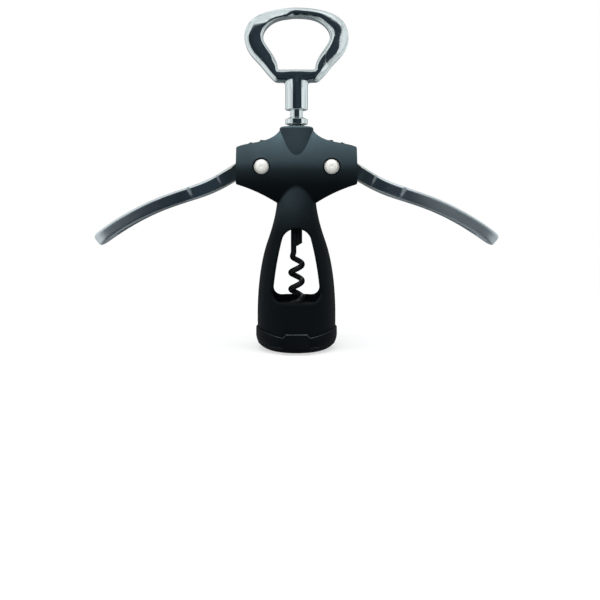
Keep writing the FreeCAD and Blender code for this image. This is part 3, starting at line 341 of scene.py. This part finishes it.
MADE = {
    "soft_black": soft_black(),
    "ring_black": ring_black(),
    "liner_black": mottled("liner_black", 80.0, (0.009, 0.010, 0.011), (0.017, 0.018, 0.019),
                           (0.45, 0.6), (1800.0,), 0.00001),
    "guide_nylon": mottled("guide_nylon", 150.0, (0.52, 0.51, 0.46), (0.68, 0.67, 0.62),
                           (0.38, 0.55), (1500.0,), 0.00001),
    "chrome": chrome("chrome_plate"),
    "handle_chrome": chrome("handle_chrome", worn=True),
    "lever_chrome": chrome("lever_chrome", STREAKS),
    "rivet_chrome": mottled("rivet_metal", 500.0, (0.90, 0.89, 0.83), (0.95, 0.94, 0.90),
                            (0.30, 0.38), (1600.0,), 0.000002, 0.25),
    "rod_steel": rod_steel(),
    "coated_steel": mottled("coated_steel", 180.0, (0.007, 0.008, 0.009), (0.014, 0.016, 0.017),
                            (0.20, 0.32), (1400.0, 3.0), 0.000006),
}


def dress_nodes():
    """Gives every CAD node the finish of its material slot."""
    for name, node in NODES.items():
        for slot in node.material_slots:
            finish = slot.material.name.split(".")[0]
            slot.material = MADE["lever_chrome" if name.endswith("_lever") else finish]


def linked(name, data):
    """A new object in the scene."""
    made = bpy.data.objects.new(name, data)
    bpy.context.scene.collection.objects.link(made)
    return made


def held(value, low=0.0, high=1.0):
    """The value, kept between two limits."""
    return min(high, max(low, value))


def smooth(share):
    """A share from 0 to 1 that starts and ends gently."""
    return share * share * (3.0 - 2.0 * share)


def round_over(radius, inside):
    """Half depth of the loop at an edge that is rounded over, at a distance inside it."""
    return HALF_DEPTH - radius + math.sqrt(radius ** 2 - inside ** 2)


def polish_at(turn):
    """Flat line and fall of the hand-polished face at an angle round the loop."""
    for before, after in zip(POLISH, POLISH[1:]):
        if turn <= after[0]:
            break
    share = smooth((turn - before[0]) / (after[0] - before[0]))
    return [a + (b - a) * share for a, b in zip(before[1:], after[1:])]


def fallen(across, flat, fall):
    """Drop of the face, for a band of half width one."""
    away = abs(across - flat)
    bend = STEEPEST / fall
    if away < bend:
        return fall * away * away / 2.0
    return STEEPEST * (away - bend / 2.0)


def rim_trees(mesh):
    """Search trees of the loop's outer rim and of its hole, seen from the front."""
    rims = {True: [], False: []}
    for spot in mesh.vertices:
        if abs(spot.co.y) < MID_PLANE and spot.co.z > BASE_Z - 0.0001:
            off = Vector((spot.co.x, spot.co.z)) - LOOP_CENTRE
            outer = off.dot(Vector((spot.normal.x, spot.normal.z))) > 0.0
            rims[outer].append((spot.co.x, 0.0, spot.co.z))
    trees = []
    for outer in (True, False):
        tree = kdtree.KDTree(len(rims[outer]))
        for index, place in enumerate(rims[outer]):
            tree.insert(place, index)
        tree.balance()
        trees.append(tree)
    return trees


def polished(x, y, z, trees):
    """Depth of a spot on the loop after its face has been polished uneven."""
    to_outer, to_hole = (tree.find((x, 0.0, z))[2] for tree in trees)
    half = (to_outer + to_hole) / 2.0
    across = (to_hole - to_outer) / (2.0 * half)
    flat, fall = polish_at(math.degrees(math.atan2(x, z - LOOP_CENTRE.y)))
    side = BACK_WANDER if y > 0.0 else 0.0
    flat += WANDER * noise.noise((x * WANDER_SCALE, side, z * WANDER_SCALE))
    least = fallen(held(flat, -1.0), flat, fall)
    drop = half * (fallen(across, flat, fall) - least) / HALF_DEPTH
    from_stem = math.hypot(x, max(0.0, z - STEM_TOP_Z) * STEM_RISE) - STEM_KEEPS
    return y * (1.0 - min(THINNEST, drop) * held(from_stem / STEM_FADE))


def stem_depth(x, z):
    """Half depth of the stem where it runs into the loop's base."""
    up = smooth((z - SOFT_Z) / (STEM_ENDS_Z - SOFT_Z))
    radius = STEM_RADIUS + (HALF_DEPTH - STEM_RADIUS) * up
    depth = math.sqrt(1.0 - (x / STEM_RADIUS) ** 2) * radius
    if z > BASE_Z:
        depth = max(depth, round_over(BASE_ROUND, max(0.0, BASE_Z + BASE_ROUND - z)))
    return depth


def reshape(mesh):
    """Swells the loop's faces unevenly, the way a polished casting does."""
    trees = rim_trees(mesh)
    for spot in mesh.vertices:
        x, y, z = spot.co
        if z < SOFT_Z:
            continue
        y = polished(x, y, z, trees)
        if z < STEM_ENDS_Z and abs(x) < STEM_RADIUS:
            most = stem_depth(x, z)
            y = held(y, -most, most)
        over = z - LIP_Z + LIP_ROUND
        if 0.0 < over < LIP_ROUND and abs(x) < LIP_HALF_WIDTH:
            most = round_over(LIP_ROUND, over)
            y = held(y, -most, most)
        spot.co.y = y


def baked(thing):
    """Mesh of an object after its modifiers."""
    graph = bpy.context.evaluated_depsgraph_get()
    return bpy.data.meshes.new_from_object(thing.evaluated_get(graph))


def softened_loop(source):
    """Fine mesh of the handle with its faces polished and its edges softened."""
    rough = linked("handle_rough", source.data)
    voxels = rough.modifiers.new("voxels", "REMESH")
    voxels.mode = "VOXEL"
    voxels.voxel_size = VOXEL
    work = baked(rough)
    reshape(work)
    rough.modifiers.clear()
    rough.data = work
    polish = rough.vertex_groups.new(name="polish")
    melt = rough.vertex_groups.new(name="melt")
    for spot in work.vertices:
        x, y, z = spot.co
        polish.add([spot.index], held((z - SOFT_Z) / SOFT_FADE), "REPLACE")
        near = held((1.0 - abs(z - MELT_Z) / MELT_HEIGHT) * MELT_EDGE)
        side = held(1.0 - (abs(x) - MELT_HALF_WIDTH) / MELT_FADE)
        melt.add([spot.index], near * side, "REPLACE")
    for group, rounds in ((melt, MELT_ROUNDS), (polish, POLISH_ROUNDS)):
        eased = rough.modifiers.new(group.name, "SMOOTH")
        eased.factor = 0.5
        eased.iterations = rounds
        eased.vertex_group = group.name
    loop = baked(rough)
    bpy.data.objects.remove(rough)
    return loop


def cut_at_stem(mesh, keep_above):
    """The part of a mesh above or below the end of the crisp stem."""
    part = bmesh.new()
    part.from_mesh(mesh)
    bmesh.ops.bisect_plane(
        part, geom=part.verts[:] + part.edges[:] + part.faces[:], plane_co=(0.0, 0.0, SOFT_Z),
        plane_no=(0.0, 0.0, 1.0), clear_inner=keep_above, clear_outer=not keep_above)
    cut = bpy.data.meshes.new("handle_part")
    part.to_mesh(cut)
    part.free()
    return cut


def cast_handle():
    """Handle as it is cast and polished: soft edges, uneven faces, crisp stem."""
    source = NODES["handle"]
    made = bmesh.new()
    made.from_mesh(cut_at_stem(source.data, False))
    made.from_mesh(cut_at_stem(softened_loop(source), True))
    mesh = bpy.data.meshes.new("handle_casting")
    made.to_mesh(mesh)
    made.free()
    mesh.polygons.foreach_set("use_smooth", [True] * len(mesh.polygons))
    mesh.set_sharp_from_angle(angle=SHARP_ANGLE)
    mesh.materials.clear()
    mesh.materials.append(MADE["handle_chrome"])
    piece = linked("handle_casting", mesh)
    piece.matrix_world = source.matrix_world
    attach(piece, "spindle")
    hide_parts("handle")


def world():
    """Studio round the object: white sides, a dark front and a dimmer back."""
    made = bpy.data.worlds.new("studio")
    bpy.context.scene.world = made
    made.use_nodes = True
    made.node_tree.nodes.clear()
    w = Wiring(made.node_tree)

    def turn(angle, ends, to_low, to_high):
        return w.span(angle, [math.radians(end) for end in ends], to_low, to_high)

    def sky(colour, strength):
        inputs = {"Color": colour, "Strength": strength}
        return w.add("ShaderNodeBackground", inputs).outputs[0]

    toward = w.add("ShaderNodeTexCoord").outputs["Generated"]
    x, y, z = w.add("ShaderNodeSeparateXYZ", {0: toward}).outputs
    aside = w.math("ARCTAN2", x, w.times(y, -1.0))
    up = w.math("ARCSINE", z)
    front = turn(w.size(w.minus(aside, FRONT_TURN)), FRONT_EDGE, 1.0, 0.0)
    behind = turn(w.size(aside), BACK_EDGE, 0.0, 0.80)
    shade = w.times(w.math("MAXIMUM", front, behind), turn(up, (30, 66), 1.0, 0.0))
    drift = w.add("ShaderNodeTexNoise", {"Vector": toward, "Scale": 2.6}).outputs["Fac"]
    level = w.times(turn(up, (20, 75), 1.0, 1.2), turn(up, (-70, -25), 0.40, 1.0))
    level = w.times(level, w.span(drift, (0.38, 0.58), 0.66, 1.0))

    path = w.add("ShaderNodeLightPath").outputs
    mirrored = sky(w.blend(shade, SKY, SHADE), level)
    lit = w.either(path["Is Diffuse Ray"], mirrored, sky(FILL, FILL_LEVEL))
    seen = w.either(path["Is Camera Ray"], lit, sky(WHITE, 1.0))
    w.add("ShaderNodeOutputWorld", {"Surface": seen})


def lamp(name, place, width, height, power):
    """A soft rectangular lamp, aimed at the object, that mirrors don't show."""
    data = bpy.data.lights.new(name, "AREA")
    data.shape = "RECTANGLE"
    data.size = width
    data.size_y = height
    data.energy = power
    data.specular_factor = 0.0
    made = linked(name, data)
    made.location = place
    made.rotation_mode = "QUATERNION"
    made.rotation_quaternion = (Vector(AIM) - Vector(place)).to_track_quat("-Z", "Y")
    made.visible_camera = False
    made.visible_glossy = False


def floor():
    """Plain pale floor that stays white far off and keeps the soft shadow near by."""
    mesh = bpy.data.meshes.new("floor")
    corners = [(-1, -1), (1, -1), (1, 1), (-1, 1)]
    mesh.from_pydata([(x * FLOOR_HALF, y * FLOOR_HALF, 0.0) for x, y in corners],
                     [], [(0, 1, 2, 3)])
    made = linked("floor", mesh)
    made.location = (0.0, 0.0, FLOOR_Z)
    s = Surface("floor_paper")
    s.set("Base Color", (0.88, 0.885, 0.89, 1.0))
    s.set("Roughness", 0.9)
    s.set("Specular IOR Level", 0.0)
    s.set("Normal", s.bump(s.noise(900.0), 0.00001))
    off = s.add("ShaderNodeVectorMath", {0: s.place}, operation="LENGTH").outputs["Value"]
    near = s.span(off, SHADOW_FADE, SHADOW_SHARE, 0.0)
    white = s.add("ShaderNodeEmission", {"Strength": 1.0}).outputs[0]
    shown = s.either(near, white, s.shader.outputs[0])
    s.plug(shown, s.tree.nodes["Material Output"].inputs["Surface"])
    mesh.materials.append(s.material)
    made.visible_glossy = False
    made.visible_diffuse = False


def camera():
    """Level camera in front, shifted so that the frame matches the photograph's."""
    data = bpy.data.cameras.new("camera")
    data.sensor_width = 36.0
    data.lens = 45.0
    data.shift_x = 0.0058
    data.shift_y = -0.178
    data.clip_start = 0.01
    made = linked("camera", data)
    made.location = (0.0, -0.390, 0.080)
    made.rotation_euler = (math.pi / 2, 0.0, 0.0)
    bpy.context.scene.camera = made


dress_nodes()
cast_handle()
world()
lamp("top_lamp", (0.0, -0.12, 0.85), 0.85, 0.50, 7.0)
lamp("front_fill", (-0.25, -1.3, 0.60), 0.9, 0.9, 9.0)
floor()
camera()
bpy.context.scene.view_settings.view_transform = "Standard"
